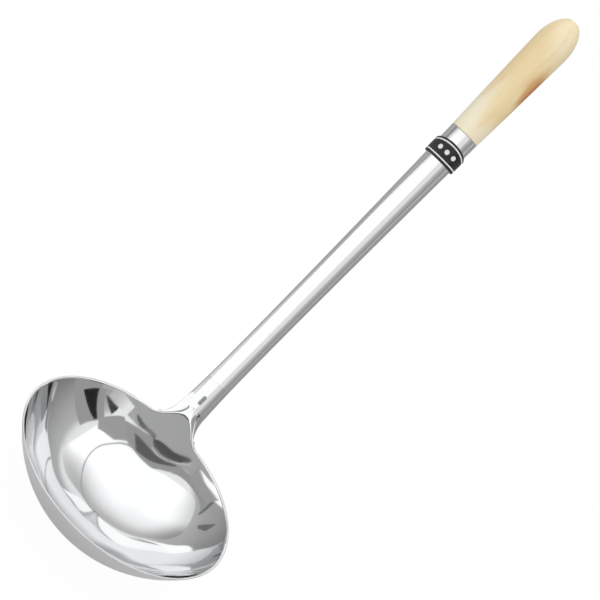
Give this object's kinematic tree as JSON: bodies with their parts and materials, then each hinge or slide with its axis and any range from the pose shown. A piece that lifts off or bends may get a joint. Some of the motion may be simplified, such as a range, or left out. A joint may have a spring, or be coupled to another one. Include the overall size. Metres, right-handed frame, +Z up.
{
  "type": "wok ladle",
  "caption": "Wok ladle: round polished steel bowl with a rolled neck, tapered tube handle, black size collar and turned pale wood grip, for scooping and tossing food in a wok.",
  "frame": {"origin": "under the middle of the ladle's box, level with the bottom of the bowl", "axes": "+Z up with the bowl's rim level and its mouth up; +X towards the grip, so the shaft rises at 54 degrees in the XZ plane, which is the plane of symmetry"},
  "size_m": [0.2874, 0.12, 0.2532],
  "materials": {
    "polished_steel": "mirror-polished stainless steel sheet",
    "tube_steel": "polished stainless steel tube with faint lengthwise polishing lines",
    "weld_metal": "weld metal ground flush",
    "collar_black": "semi-gloss black moulding",
    "line_white": "semi-gloss white inlay",
    "pale_wood": "turned pale hardwood, lightly sealed, with tan grain and an orange-brown streak",
    "nail_steel": "bright steel nail"
  },
  "bodies": {
    "root": {"bowl": "polished_steel", "handle_tube": "tube_steel", "neck_plug_weld": "weld_metal", "size_collar": "collar_black", "collar_line_lower": "line_white", "collar_line_upper": "line_white", "grip": "pale_wood", "grip_nail": "nail_steel"}
  },
  "joints": []
}
